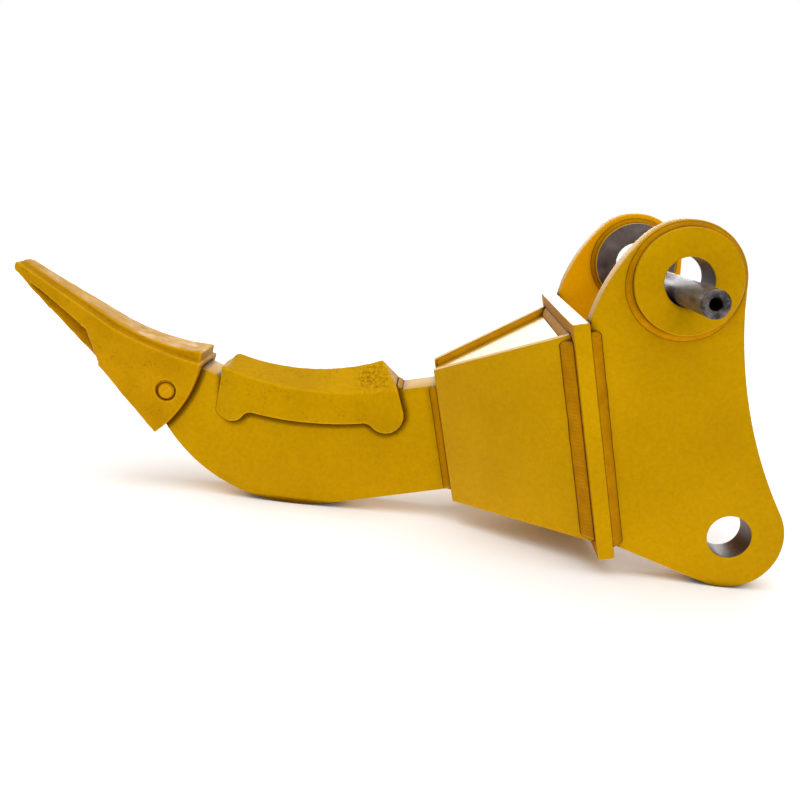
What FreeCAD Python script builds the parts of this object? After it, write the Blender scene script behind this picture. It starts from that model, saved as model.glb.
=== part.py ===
import FreeCAD, Part
import math
import os

# Single-shank ripper for a 20-tonne class excavator.
# Drawing axes (millimetres): the origin is the arm pin's axis at mid-width, X runs from the tooth to the
# ears, Y across the machine, Z up, with the flange plate upright. Every piece is drawn there and then
# turned and moved by settle(), so that the ripper stands on its ears and its heel, centred on Z.

# Pin bores and ears
arm_bore_r = 40.0
link_bore_r = 37.5
pin_centres = 450.0
link_lean_deg = 4.72
ear_outer_y = 227.0
ear_thick = 40.0
arm_end_r = 98.0
link_end_r = 93.0
ear_crown_deg = 125.0
ear_hollow_r = 800.0
ear_foot_top_z = -52.0
ear_foot_low_z = -436.0

# Bosses
outer_boss_r = 87.0
outer_boss_thick = 20.0
inner_boss_thick = 23.0
arm_inner_boss_r = 80.0
link_inner_boss_r = 72.0

# Flange plate
flange_front_x = -190.0
flange_thick = 28.0
flange_top_z = -43.5
flange_low_z = -456.0
flange_half_width = 242.0

# Shank and its nose
shank_half = 45.0
heel_r = 308.0
heel_x = -670.0
heel_z = -49.0
shank_rear_low_z = -357.0
shank_top_bend = (-500.0, -152.0)
shank_top_middle = (-690.0, -132.0)
shank_top_front = (-840.0, -77.0)
nose_top_rear = (-868.0, -58.0)
nose_top_tip = (-985.0, 5.0)
nose_low_tip = (-1030.0, -30.0)
nose_low_rear = (-962.0, -149.5)
nose_heart = (-880.0, -120.0)
nose_tip_half = 33.0

# Tooth
tooth_gap = 1.0
tooth_root = (-910.0, -100.0)
tooth_point = (-1184.0, 186.0)
tooth_low_tip = (-1182.0, 169.5)
tooth_low_rear = (-978.0, -165.5)
tooth_root_half = 65.0
tooth_point_half = 34.0
rib_root_half = 50.0
rib_point_half = 15.0
keel_low_half = 45.0
keel_taper = 0.05
keel_flare = 1.0

# Tooth pin
pin_x = -943.0
pin_z = -91.0
pin_r = 16.0
pin_half = 56.0
pin_fit = 0.08
pin_chamfer = 3.0
cheek_bore_r = 16.5
cheek_sink_x = -941.0
cheek_sink_z = -88.0
cheek_sink_r = 20.5
cheek_sink_depth = 11.0
band_half = 9.0
band_root_r = 13.0

# Shank guard
guard_half = 56.0
guard_front_x = -828.0
guard_nose_r = 18.0
guard_nose_z = -64.0
crease_points = ((-826.0, -59.0), (-687.0, -123.0), (-504.0, -149.0))
ridge_points = ((-802.0, -46.0), (-668.0, -95.0), (-528.0, -98.0))
guard_end_x = -504.0

# Box between shank and flange
box_front_x = -431.0
side_thick = 20.0
side_front_y = 66.0
side_rear_y = 205.0
side_front_top_z = -120.0
side_rear_top_z = -65.0
side_front_low_z = -378.0
side_rear_low_z = -437.0
top_recess = 13.0
low_recess = 4.0
top_cover_thick = 20.0
low_cover_thick = 16.0
rib_x = -300.0
box_rib_thick = 14.0

# Handling bar: a thick tube that lies in the arm bores
bar_r = 22.0
bar_bore_r = 10.0
bar_half = 398.0
bar_rest_gap = 0.3
bar_chamfer = 1.5

# Weld sizes
weld_shank = 15.0
weld_side = 24.0
weld_ear = 14.0
weld_ear_run = 19.0
weld_ring = 8.5
weld_cover = 12.0
weld_low_cover = 4.0
weld_guard = 8.0

link_x = pin_centres * math.sin(math.radians(link_lean_deg))
link_z = -pin_centres * math.cos(math.radians(link_lean_deg))
flange_back_x = flange_front_x + flange_thick
ear_inner_y = ear_outer_y - ear_thick


def vec(x, z, y=0.0):
    return FreeCAD.Vector(x, y, z)


def line(a, b):
    return Part.LineSegment(vec(*a), vec(*b)).toShape()


def arc(a, middle, b):
    return Part.Arc(vec(*a), vec(*middle), vec(*b)).toShape()


def on_circle(centre, radius, degrees):
    angle = math.radians(degrees)
    return (centre[0] + radius * math.cos(angle), centre[1] + radius * math.sin(angle))


def plate(edges, y_low, y_high):
    # An outline in X and Z, made solid between two values of Y.
    face = Part.Face(Part.Wire(Part.__sortEdges__(edges)))
    face.translate(FreeCAD.Vector(0, y_low, 0))
    return face.extrude(FreeCAD.Vector(0, y_high - y_low, 0))


def polygon_plate(points, y_low, y_high):
    edges = [line(points[i - 1], points[i]) for i in range(len(points))]
    return plate(edges, y_low, y_high)


def plan_prism(points, z_low, z_high):
    # An outline in X and Y, made solid between two values of Z.
    corners = [FreeCAD.Vector(x, y, z_low) for x, y in points]
    face = Part.Face(Part.makePolygon(corners + corners[:1]))
    return face.extrude(FreeCAD.Vector(0, 0, z_high - z_low))


def disc(radius, y_low, y_high, centre=(0.0, 0.0)):
    start = vec(centre[0], centre[1], y_low)
    return Part.makeCylinder(radius, y_high - y_low, start, FreeCAD.Vector(0, 1, 0))


def mirror(shape):
    return shape.mirror(FreeCAD.Vector(0, 0, 0), FreeCAD.Vector(0, 1, 0))


def between(x, x_start, x_end, start, end):
    return start + (end - start) * (x - x_start) / (x_end - x_start)


def arc_height(x, points):
    # Height at x of the circular arc through three points given as (x, z).
    circle = arc(*points).Curve
    rise = math.sqrt(circle.Radius ** 2 - (x - circle.Center.x) ** 2)
    side = 1.0 if points[1][1] > circle.Center.z else -1.0
    return circle.Center.z + side * rise


def fillet_run(start, end, leg_a, leg_b):
    # A straight fillet weld: a three-cornered bar from start to end, with its two legs on two faces.
    corners = [start, start + leg_a, start + leg_b]
    face = Part.Face(Part.makePolygon(corners + corners[:1]))
    return face.extrude(end - start)


def fillet_ring(radius, y_face, outward, leg, centre):
    # A fillet weld round a disc that stands on a face, drawn as a turned three-cornered ring.
    corners = [vec(centre[0] + radius, centre[1], y_face)]
    corners.append(vec(centre[0] + radius + leg, centre[1], y_face))
    corners.append(vec(centre[0] + radius, centre[1], y_face + outward * leg))
    face = Part.Face(Part.makePolygon(corners + corners[:1]))
    return face.revolve(vec(*centre), FreeCAD.Vector(0, 1, 0), 360)


# Ears

def hollow_centre():
    # Centre of the ear's long hollow, whose circle touches both end circles from outside.
    reach_arm = ear_hollow_r + arm_end_r
    reach_link = ear_hollow_r + link_end_r
    along = (reach_arm ** 2 - reach_link ** 2 + pin_centres ** 2) / (2 * pin_centres)
    off = math.sqrt(reach_arm ** 2 - along ** 2)
    ux = link_x / pin_centres
    uz = link_z / pin_centres
    return (ux * along - uz * off, uz * along + ux * off)


def ear_edges():
    arm = (0.0, 0.0)
    link = (link_x, link_z)
    top_foot = (flange_back_x, ear_foot_top_z)
    low_foot = (flange_back_x, ear_foot_low_z)
    crown = on_circle(arm, arm_end_r, ear_crown_deg)
    # The brow arc runs from the flange to the arm circle and is tangent to it at the crown.
    ux = crown[0] / arm_end_r
    uz = crown[1] / arm_end_r
    gap = (top_foot[0] - crown[0]) ** 2 + (top_foot[1] - crown[1]) ** 2
    brow_r = gap / (2 * (arm_end_r - top_foot[0] * ux - top_foot[1] * uz))
    brow_centre = (-(brow_r - arm_end_r) * ux, -(brow_r - arm_end_r) * uz)
    foot_angle = math.atan2(top_foot[1] - brow_centre[1], top_foot[0] - brow_centre[0])
    brow_deg = (math.degrees(foot_angle) + ear_crown_deg) / 2
    hollow = hollow_centre()
    arm_deg = math.degrees(math.atan2(hollow[1], hollow[0]))
    link_deg = math.degrees(math.atan2(hollow[1] - link[1], hollow[0] - link[0]))
    hollow_deg = 180 + (arm_deg + link_deg) / 2
    reach = math.hypot(low_foot[0] - link[0], low_foot[1] - link[1])
    foot_deg = math.degrees(math.atan2(low_foot[1] - link[1], low_foot[0] - link[0]))
    keel_deg = foot_deg + math.degrees(math.acos(link_end_r / reach))
    arm_end = on_circle(arm, arm_end_r, arm_deg)
    link_start = on_circle(link, link_end_r, link_deg)
    link_end = on_circle(link, link_end_r, keel_deg)
    edges = [arc(top_foot, on_circle(brow_centre, brow_r, brow_deg), crown)]
    edges.append(arc(crown, on_circle(arm, arm_end_r, (ear_crown_deg + arm_deg) / 2), arm_end))
    edges.append(arc(arm_end, on_circle(hollow, ear_hollow_r, hollow_deg), link_start))
    low_deg = (link_deg + keel_deg - 360) / 2
    edges.append(arc(link_start, on_circle(link, link_end_r, low_deg), link_end))
    edges.append(line(link_end, low_foot))
    edges.append(line(low_foot, top_foot))
    return edges


def bored(shape, radius, centre):
    return shape.cut(disc(radius, -2 * ear_outer_y, 2 * ear_outer_y, centre))


def ear_plate():
    body = plate(ear_edges(), ear_inner_y, ear_outer_y)
    body = bored(body, arm_bore_r, (0.0, 0.0))
    return bored(body, link_bore_r, (link_x, link_z))


def boss(radius, bore_r, y_low, y_high, centre):
    return bored(disc(radius, y_low, y_high, centre), bore_r, centre)


# Shank, nose and tooth

def offset_outline(points, distance):
    # Moves each side of a convex outline outwards and joins the sides again at their crossings.
    middle_x = sum(point[0] for point in points) / len(points)
    middle_z = sum(point[1] for point in points) / len(points)
    sides = []
    for i in range(len(points)):
        ax, az = points[i - 1]
        bx, bz = points[i]
        length = math.hypot(bx - ax, bz - az)
        nx = (bz - az) / length
        nz = (ax - bx) / length
        if nx * (ax - middle_x) + nz * (az - middle_z) < 0:
            nx, nz = -nx, -nz
        sides.append((nx, nz, nx * ax + nz * az + distance))
    corners = []
    for i in range(len(sides)):
        a1, b1, c1 = sides[i]
        a2, b2, c2 = sides[(i + 1) % len(sides)]
        share = a1 * b2 - a2 * b1
        corners.append(((c1 * b2 - c2 * b1) / share, (a1 * c2 - a2 * c1) / share))
    return corners


def tooth_direction():
    dx = tooth_point[0] - tooth_root[0]
    dz = tooth_point[1] - tooth_root[1]
    length = math.hypot(dx, dz)
    return dx / length, dz / length, length


def taper_prism(stations):
    # Stations are (distance from the tooth's root towards its point, half width there).
    dx, dz, length = tooth_direction()
    reach = 300.0
    corners = []
    for side in (-1, 1):
        ordered = stations if side < 0 else stations[::-1]
        for along, half in ordered:
            x = tooth_root[0] + dx * along - dz * reach
            z = tooth_root[1] + dz * along + dx * reach
            corners.append(vec(x, z, side * half))
    face = Part.Face(Part.makePolygon(corners + corners[:1]))
    return face.extrude(vec(dz * 2 * reach, -dx * 2 * reach))


def nose(grow):
    outline = [nose_top_rear, nose_top_tip, nose_low_tip, nose_low_rear, nose_heart]
    if grow > 0:
        outline = offset_outline(outline, grow)
    body = polygon_plate(outline, -shank_half - grow, shank_half + grow)
    root_half = shank_half + grow
    tip_half = nose_tip_half + grow
    stations = [(-200.0, root_half), (25.0, root_half), (180.0, tip_half), (260.0, tip_half)]
    return body.common(taper_prism(stations))


def cover_under_z(x):
    return side_top_z(x) - top_recess - top_cover_thick


def low_cover_top_z(x):
    return side_low_z(x) + low_recess + low_cover_thick


def shank_body():
    front_deg = math.degrees(math.atan2(nose_low_rear[1] - heel_z, nose_low_rear[0] - heel_x))
    heel_end = on_circle((heel_x, heel_z), heel_r, front_deg)
    heel_middle = on_circle((heel_x, heel_z), heel_r, (front_deg + 360 + 270) / 2)
    top_front = (box_front_x, cover_under_z(box_front_x))
    top_rear = (flange_front_x, cover_under_z(flange_front_x))
    low_rear = (flange_front_x, low_cover_top_z(flange_front_x))
    low_front = (box_front_x, low_cover_top_z(box_front_x))
    edges = [line(top_rear, top_front)]
    edges.append(line(top_front, shank_top_bend))
    edges.append(arc(shank_top_bend, shank_top_middle, shank_top_front))
    edges.append(line(shank_top_front, nose_top_rear))
    edges.append(line(nose_top_rear, heel_end))
    edges.append(arc(heel_end, heel_middle, (heel_x, shank_rear_low_z)))
    edges.append(line((heel_x, shank_rear_low_z), low_front))
    edges.append(line(low_front, low_rear))
    edges.append(line(low_rear, top_rear))
    body = plate(edges, -shank_half, shank_half).fuse(nose(0.0))
    return body.cut(disc(pin_r + pin_fit, -shank_half - 1, shank_half + 1, (pin_x, pin_z))).removeSplitter()


def tooth_side_edges():
    top_rear = (-864.0, -48.0)
    top_middle = (-1018.0, 41.0)
    tip_top = (-1180.0, 191.0)
    edges = [arc(top_rear, (-944.0, -8.0), top_middle)]
    edges.append(line(top_middle, tip_top))
    edges.append(arc(tip_top, (-1187.5, 181.0), tooth_low_tip))
    edges.append(line(tooth_low_tip, tooth_low_rear))
    edges.append(arc(tooth_low_rear, (-910.0, -116.0), top_rear))
    return edges


def rib_edges():
    rear_top = (-861.0, -28.0)
    middle_top = (-1012.0, 49.0)
    tip_top = (-1176.0, 193.0)
    tip_low = (-1168.0, 176.0)
    rear_low = (-872.0, -58.0)
    middle_low = (-1015.0, 15.0)
    edges = [arc(rear_top, (-938.0, 1.5), middle_top)]
    edges.append(line(middle_top, tip_top))
    edges.append(line(tip_top, tip_low))
    edges.append(line(tip_low, middle_low))
    edges.append(line(middle_low, rear_low))
    edges.append(line(rear_low, rear_top))
    return edges


def scoop():
    # Hollow under the tooth's top flange, which leaves a narrow keel that widens again at the bottom.
    edges = [arc((-1172.0, 160.0), (-1112.0, 94.0), (-1074.0, 48.0))]
    edges.append(arc((-1074.0, 48.0), (-1068.0, 14.0), (-1062.0, -22.0)))
    edges.append(line((-1062.0, -22.0), (-1120.0, -22.0)))
    edges.append(line((-1120.0, -22.0), (-1230.0, 160.0)))
    edges.append(line((-1230.0, 160.0), (-1172.0, 160.0)))
    hollow = plate(edges, 0.0, tooth_root_half + 10)
    run = vec(tooth_low_rear[0] - tooth_low_tip[0], tooth_low_rear[1] - tooth_low_tip[1])
    along = run.normalize()
    inside = vec(-along.z, along.x)
    corners = []
    for depth, half in ((-60.0, keel_low_half + 60 * keel_flare), (60.0, keel_low_half - 60 * keel_flare)):
        corners.append(vec(*tooth_low_tip, half) + inside * depth - along * 60)
    for depth in (60.0, -60.0):
        corners.append(vec(*tooth_low_tip, 2 * tooth_root_half) + inside * depth - along * 60)
    face = Part.Face(Part.makePolygon(corners + corners[:1]))
    return hollow.common(face.extrude((along + FreeCAD.Vector(0, -keel_taper, 0)) * 500))


def tooth():
    length = tooth_direction()[2]
    body = plate(tooth_side_edges(), -tooth_root_half, tooth_root_half)
    wide = [(-200.0, tooth_root_half), (0.0, tooth_root_half), (length + 30, tooth_point_half)]
    body = body.common(taper_prism(wide))
    rib = plate(rib_edges(), -rib_root_half, rib_root_half)
    narrow = [(-200.0, rib_root_half), (0.0, rib_root_half), (length + 30, rib_point_half)]
    body = body.fuse(rib.common(taper_prism(narrow)))
    body = body.cut(scoop()).cut(mirror(scoop()))
    # The nose's room runs on past the cheeks' rear edge, so that the mouth is open.
    body = body.cut(nose(tooth_gap))
    body = body.cut(shank_body())
    centre = (pin_x, pin_z)
    body = body.cut(disc(cheek_bore_r, -tooth_root_half - 5, tooth_root_half + 5, centre))
    face_y = tooth_root_half - 2.5
    sink = disc(cheek_sink_r, face_y - cheek_sink_depth, face_y + 10, (cheek_sink_x, cheek_sink_z))
    return body.cut(sink).cut(mirror(sink)).removeSplitter()


def tooth_pin():
    centre = (pin_x, pin_z)
    pin = disc(pin_r, -pin_half, pin_half, centre)
    ends = [edge for edge in pin.Edges if edge.Curve.TypeId == "Part::GeomCircle"]
    pin = pin.makeChamfer(pin_chamfer, ends)
    groove = disc(pin_r + 5, -band_half, band_half, centre)
    groove = groove.cut(disc(band_root_r, -band_half, band_half, centre))
    return pin.cut(groove)


def pin_lock_band():
    centre = (pin_x, pin_z)
    ring = disc(pin_r, -band_half, band_half, centre)
    return ring.cut(disc(band_root_r, -band_half, band_half, centre))


# Shank guard

def ridge_z(x):
    if x < ridge_points[0][0]:
        reach = ridge_points[0][0] - x
        return guard_nose_z + math.sqrt(guard_nose_r ** 2 - min(reach, guard_nose_r) ** 2)
    return arc_height(x, ridge_points)


def guard_roof():
    stations = [guard_front_x + step for step in (0.0, 2.0, 6.0, 11.0, 18.0, 26.0)]
    count = 11
    for i in range(1, count + 1):
        stations.append(between(i, 0, count, ridge_points[0][0], guard_end_x))
    sections = []
    for x in stations:
        crease = arc_height(x, crease_points)
        ridge = max(ridge_z(x), crease + 2.0)
        outline = [(-guard_half, crease), (0.0, ridge), (guard_half, crease)]
        outline += [(guard_half, crease - 30), (-guard_half, crease - 30)]
        corners = [FreeCAD.Vector(x, y, z) for y, z in outline]
        sections.append(Part.makePolygon(corners + corners[:1]))
    roof = Part.makeLoft(sections, True, True)
    end_cut = [(-528.0, -97.0), (-528.0, 0.0), (-450.0, 0.0), (-450.0, -149.0), (guard_end_x, -149.0)]
    return roof.cut(polygon_plate(end_cut, -100, 100))


def guard_cheek_edges():
    edges = [arc(*crease_points)]
    edges.append(line(crease_points[2], (-500.0, -193.0)))
    edges.append(arc((-500.0, -193.0), (-531.0, -231.0), (-564.0, -215.0)))
    edges.append(arc((-564.0, -215.0), (-573.0, -207.0), (-585.0, -205.0)))
    edges.append(arc((-585.0, -205.0), (-690.0, -188.0), (-786.0, -156.0)))
    edges.append(arc((-786.0, -156.0), (-797.0, -154.5), (-806.0, -159.0)))
    edges.append(arc((-806.0, -159.0), (-834.0, -166.0), (-857.0, -140.0)))
    edges.append(line((-857.0, -140.0), crease_points[0]))
    return edges


def shank_guard(shank):
    cheeks = plate(guard_cheek_edges(), -guard_half, guard_half)
    return guard_roof().fuse(cheeks).cut(shank).removeSplitter()


# Box

def side_outer_y(x):
    return between(x, box_front_x, flange_front_x, side_front_y, side_rear_y)


def side_inner_y(x):
    slope = math.atan2(side_rear_y - side_front_y, flange_front_x - box_front_x)
    return side_outer_y(x) - side_thick / math.cos(slope)


def box_profile(z_top, z_low, x_front=box_front_x, x_rear=flange_front_x):
    # Solid between two sloping lines, each given as a function of x, as wide as the flange.
    corners = [(x_front, z_top(x_front)), (x_rear, z_top(x_rear))]
    corners += [(x_rear, z_low(x_rear)), (x_front, z_low(x_front))]
    return polygon_plate(corners, -flange_half_width, flange_half_width)


def side_top_z(x):
    return between(x, box_front_x, flange_front_x, side_front_top_z, side_rear_top_z)


def side_low_z(x):
    return between(x, box_front_x, flange_front_x, side_front_low_z, side_rear_low_z)


def inner_corner_x():
    # Where the side plate's inner face meets the shank.
    front = side_inner_y(box_front_x)
    rear = side_inner_y(flange_front_x)
    return between(shank_half, front, rear, box_front_x, flange_front_x)


def side_plate():
    corners = [(box_front_x, shank_half), (box_front_x, side_front_y), (flange_front_x, side_rear_y)]
    corners += [(flange_front_x, side_inner_y(flange_front_x)), (inner_corner_x(), shank_half)]
    return plan_prism(corners, -600, 100).common(box_profile(side_top_z, side_low_z))


def cover(z_top, z_low):
    x_front = inner_corner_x()
    wide = side_inner_y(flange_front_x)
    corners = [(x_front, -shank_half), (flange_front_x, -wide)]
    corners += [(flange_front_x, wide), (x_front, shank_half)]
    return plan_prism(corners, -600, 100).common(box_profile(z_top, z_low, x_front))


def top_cover():
    return cover(lambda x: cover_under_z(x) + top_cover_thick, cover_under_z)


def low_cover():
    return cover(low_cover_top_z, lambda x: low_cover_top_z(x) - low_cover_thick)


def box_rib():
    front = rib_x - box_rib_thick / 2
    back = rib_x + box_rib_thick / 2
    corners = [(front, shank_half), (front, side_inner_y(front))]
    corners += [(back, side_inner_y(back)), (back, shank_half)]
    return plan_prism(corners, -600, 100).common(box_profile(cover_under_z, low_cover_top_z, front, back))


# Welds

side_slope = math.atan2(side_rear_y - side_front_y, flange_front_x - box_front_x)
to_front = FreeCAD.Vector(-1, 0, 0)
to_rear = FreeCAD.Vector(1, 0, 0)
outward = FreeCAD.Vector(0, 1, 0)
inward = FreeCAD.Vector(0, -1, 0)
up = FreeCAD.Vector(0, 0, 1)
down = FreeCAD.Vector(0, 0, -1)


def weld_side_to_shank():
    start = vec(box_front_x, cover_under_z(box_front_x) - 1, shank_half)
    end = vec(box_front_x, low_cover_top_z(box_front_x) + 1, shank_half)
    return fillet_run(start, end, to_front * weld_shank, outward * weld_shank)


def weld_side_to_flange():
    along = FreeCAD.Vector(-math.cos(side_slope), -math.sin(side_slope), 0)
    start = vec(flange_front_x, side_top_z(flange_front_x) - 9, side_rear_y)
    end = vec(flange_front_x, side_low_z(flange_front_x) + 9, side_rear_y)
    return fillet_run(start, end, along * weld_side, outward * weld_side)


def weld_ear_outer():
    start = vec(flange_back_x, ear_foot_top_z - 8, ear_outer_y)
    end = vec(flange_back_x, ear_foot_low_z - 2, ear_outer_y)
    return fillet_run(start, end, to_rear * weld_ear_run, outward * weld_ear)


def weld_ear_inner():
    start = vec(flange_back_x, ear_foot_top_z - 8, ear_inner_y)
    end = vec(flange_back_x, ear_foot_low_z - 2, ear_inner_y)
    return fillet_run(start, end, to_rear * weld_ear_run, inward * weld_ear)


def cover_weld(plate_shape, z_line, upright, leg):
    # Runs down both side plates and across the flange, in the corner that a recessed cover leaves.
    front = inner_corner_x()
    along = FreeCAD.Vector(-math.cos(side_slope), -math.sin(side_slope), 0)
    across = FreeCAD.Vector(math.sin(side_slope), -math.cos(side_slope), 0)
    start = vec(front, z_line(front), shank_half)
    end = vec(flange_front_x, z_line(flange_front_x), side_inner_y(flange_front_x))
    side_run = fillet_run(start, end, across * leg, upright * leg)
    flange_end = vec(flange_front_x, z_line(flange_front_x), -side_inner_y(flange_front_x))
    sloped = vec(front - flange_front_x, z_line(front) - z_line(flange_front_x)).normalize()
    flange_run = fillet_run(flange_end, end, sloped * leg, upright * leg)
    whole = side_run.fuse(mirror(side_run)).fuse(flange_run)
    limits = cover(lambda x: z_line(x) + 40, lambda x: z_line(x) - 40)
    return whole.common(limits).cut(plate_shape).removeSplitter()


def weld_guard_end(shank, guard):
    # Lies in the corner between the guard's sloping rear end and the top of the shank.
    low_z = arc_height(guard_end_x, crease_points) - weld_guard
    bead = fillet_run(
        vec(guard_end_x - weld_guard, low_z, -shank_half), vec(guard_end_x - weld_guard, low_z, shank_half),
        to_rear * 3 * weld_guard, up * 3 * weld_guard)
    return bead.cut(shank).cut(guard)


# Handling bar

def rest_direction():
    # Unit vector that points down when the ripper stands on its heel and on the ears' lower ends.
    away_x = link_x - heel_x
    away_z = link_z - heel_z
    turn = math.acos((heel_r - link_end_r) / math.hypot(away_x, away_z))
    angle = math.atan2(away_z, away_x) - turn
    return math.cos(angle), math.sin(angle)


def handling_bar():
    down_x, down_z = rest_direction()
    drop = arm_bore_r - bar_r - bar_rest_gap
    centre = (down_x * drop, down_z * drop)
    bar = disc(bar_r, -bar_half, bar_half, centre)
    ends = [edge for edge in bar.Edges if edge.Curve.TypeId == "Part::GeomCircle"]
    bar = bar.makeChamfer(bar_chamfer, ends)
    return bar.cut(disc(bar_bore_r, -bar_half - 1, bar_half + 1, centre))


def settle(shape, shift):
    # Turns the drawing into the standing position and moves it over the origin.
    down_x, down_z = rest_direction()
    tilt = math.degrees(math.atan2(-down_x, -down_z))
    turned = shape.copy()
    turned.rotate(FreeCAD.Vector(0, 0, 0), FreeCAD.Vector(0, 1, 0), -tilt)
    turned.translate(shift)
    return turned


def standing_shift():
    # From the tooth's point to the ears' link ends, and from the floor line to the arm pin's axis.
    down_x, down_z = rest_direction()
    level = down_x * link_x + down_z * link_z + link_end_r
    rear = -down_z * link_x + down_x * link_z + link_end_r
    front = settle(tooth(), FreeCAD.Vector(0, 0, 0)).optimalBoundingBox(False, False).XMin
    return FreeCAD.Vector(-(front + rear) / 2, 0, level)


def build():
    shank = shank_body()
    guard = shank_guard(shank)
    arm = (0.0, 0.0)
    link = (link_x, link_z)
    face_y = ear_inner_y - inner_boss_thick
    nodes = {
        "tooth": tooth(),
        "tooth_pin": tooth_pin(),
        "pin_lock_band": pin_lock_band(),
        "shank": shank,
        "shank_guard": guard,
        "flange_plate": polygon_plate(
            [(flange_front_x, flange_top_z), (flange_back_x, flange_top_z),
             (flange_back_x, flange_low_z), (flange_front_x, flange_low_z)],
            -flange_half_width, flange_half_width),
        "top_cover_plate": top_cover(),
        "bottom_cover_plate": low_cover(),
        "weld_top_cover": cover_weld(
            top_cover(), lambda x: cover_under_z(x) + top_cover_thick, up, weld_cover),
        "weld_bottom_cover": cover_weld(
            low_cover(), lambda x: low_cover_top_z(x) - low_cover_thick, down, weld_low_cover),
        "weld_guard_rear": weld_guard_end(shank, guard),
        "handling_bar": handling_bar(),
    }
    right_side = {
        "side_plate": side_plate(),
        "box_rib": box_rib(),
        "ear_plate": ear_plate(),
        "arm_boss_outer": boss(outer_boss_r, arm_bore_r, ear_outer_y, ear_outer_y + outer_boss_thick, arm),
        "arm_boss_inner": boss(arm_inner_boss_r, arm_bore_r, face_y, ear_inner_y, arm),
        "link_boss_inner": boss(link_inner_boss_r, link_bore_r, face_y, ear_inner_y, link),
        "weld_shank": weld_side_to_shank(),
        "weld_flange": weld_side_to_flange(),
        "weld_ear_outer": weld_ear_outer(),
        "weld_ear_inner": weld_ear_inner(),
        "weld_arm_boss_outer": fillet_ring(outer_boss_r, ear_outer_y, 1, weld_ring, arm),
        "weld_arm_boss_inner": fillet_ring(arm_inner_boss_r, ear_inner_y, -1, weld_ring, arm),
        "weld_link_boss_inner": fillet_ring(link_inner_boss_r, ear_inner_y, -1, weld_ring, link),
    }
    for name, shape in right_side.items():
        nodes[name + "_right"] = mirror(shape)
        nodes[name + "_left"] = shape
    return nodes


os.makedirs("parts", exist_ok=True)
shift = standing_shift()
for name, shape in build().items():
    standing = settle(shape, shift)
    solids = standing.Solids
    print(name, len(solids), "solid(s)", round(standing.Volume / 1000), "cm3", standing.isValid())
    standing.exportStep("parts/" + name + ".step")
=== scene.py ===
import math

import bmesh
import bpy
from mathutils import Matrix, Vector, noise


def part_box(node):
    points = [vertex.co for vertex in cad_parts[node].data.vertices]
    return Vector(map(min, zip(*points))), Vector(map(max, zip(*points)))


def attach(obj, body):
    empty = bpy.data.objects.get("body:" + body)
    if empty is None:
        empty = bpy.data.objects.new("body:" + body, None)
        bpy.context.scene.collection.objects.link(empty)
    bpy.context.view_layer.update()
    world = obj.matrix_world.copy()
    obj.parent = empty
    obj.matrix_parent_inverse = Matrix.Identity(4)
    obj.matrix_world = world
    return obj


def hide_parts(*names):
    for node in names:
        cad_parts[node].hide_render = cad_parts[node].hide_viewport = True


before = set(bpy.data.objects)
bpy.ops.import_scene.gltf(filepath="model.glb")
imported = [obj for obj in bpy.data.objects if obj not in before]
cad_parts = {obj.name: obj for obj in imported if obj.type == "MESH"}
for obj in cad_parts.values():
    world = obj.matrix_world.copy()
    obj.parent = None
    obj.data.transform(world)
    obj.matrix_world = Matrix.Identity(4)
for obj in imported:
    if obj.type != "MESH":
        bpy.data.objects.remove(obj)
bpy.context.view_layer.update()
print("frame loaded,", len(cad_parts), "nodes")


# The ripper's drawing has its origin on the arm pin, with the flange upright, in millimetres.
standing = {"linkLeanDegrees": 4.72, "unit": 0.001}


def pinAxis(nodeName):
    low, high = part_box(nodeName)
    return Vector(((low[0] + high[0]) / 2, 0, (low[2] + high[2]) / 2))


armPin = pinAxis("arm_boss_outer_left")
linkPin = pinAxis("link_boss_inner_left")
stance = math.atan2(linkPin.x - armPin.x, armPin.z - linkPin.z) - math.radians(standing["linkLeanDegrees"])
fromDrawing = (
    Matrix.Translation(armPin) @ Matrix.Rotation(-stance, 4, "Y") @ Matrix.Scale(standing["unit"], 4))
toDrawing = fromDrawing.inverted()

ripper = {
    "armBore": 40, "linkBore": 37.5, "linkX": 37.03, "linkZ": -448.47,
    "earOuter": 227, "earInner": 187, "innerBossThick": 23,
    "flangeFront": -190, "flangeBack": -162,
    "shankHalf": 45, "noseRear": -862,
    "pinX": -943, "pinZ": -91,
    "boxFront": -431, "sideFront": 66, "sideRear": 205, "sideThick": 20,
    "sideTop": (-120, -65), "sideLow": (-378, -437),
    "topRecess": 13, "lowRecess": 4,
}

cameraView = {
    "fromArmPin": (-0.40421, -1.68948, 0.09693),
    "turnDegrees": (76.737, -5.5732, 2.7696),
    "lens": 40.05,
    "sensor": 36,
}


def makeCamera():
    lens = bpy.data.cameras.new("studioCamera")
    lens.lens = cameraView["lens"]
    lens.sensor_width = cameraView["sensor"]
    camera = bpy.data.objects.new("studioCamera", lens)
    camera.location = armPin + Vector(cameraView["fromArmPin"])
    camera.rotation_euler = [math.radians(angle) for angle in cameraView["turnDegrees"]]
    bpy.context.scene.collection.objects.link(camera)
    bpy.context.scene.camera = camera


makeCamera()
print("camera placed")


def linear(red, green, blue):
    def one(value):
        value = value / 255
        return value / 12.92 if value <= 0.04045 else ((value + 0.055) / 1.055) ** 2.4
    return (one(red), one(green), one(blue), 1)


def addNode(tree, kind, inputs=None, **settings):
    node = tree.nodes.new(kind)
    for key, value in settings.items():
        setattr(node, key, value)
    for key, value in (inputs or {}).items():
        if isinstance(value, bpy.types.NodeSocket):
            tree.links.new(value, node.inputs[key])
        else:
            node.inputs[key].default_value = value
    return node


def addMath(tree, operation, first, second=0.0):
    return addNode(tree, "ShaderNodeMath", {0: first, 1: second}, operation=operation).outputs[0]


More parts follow.
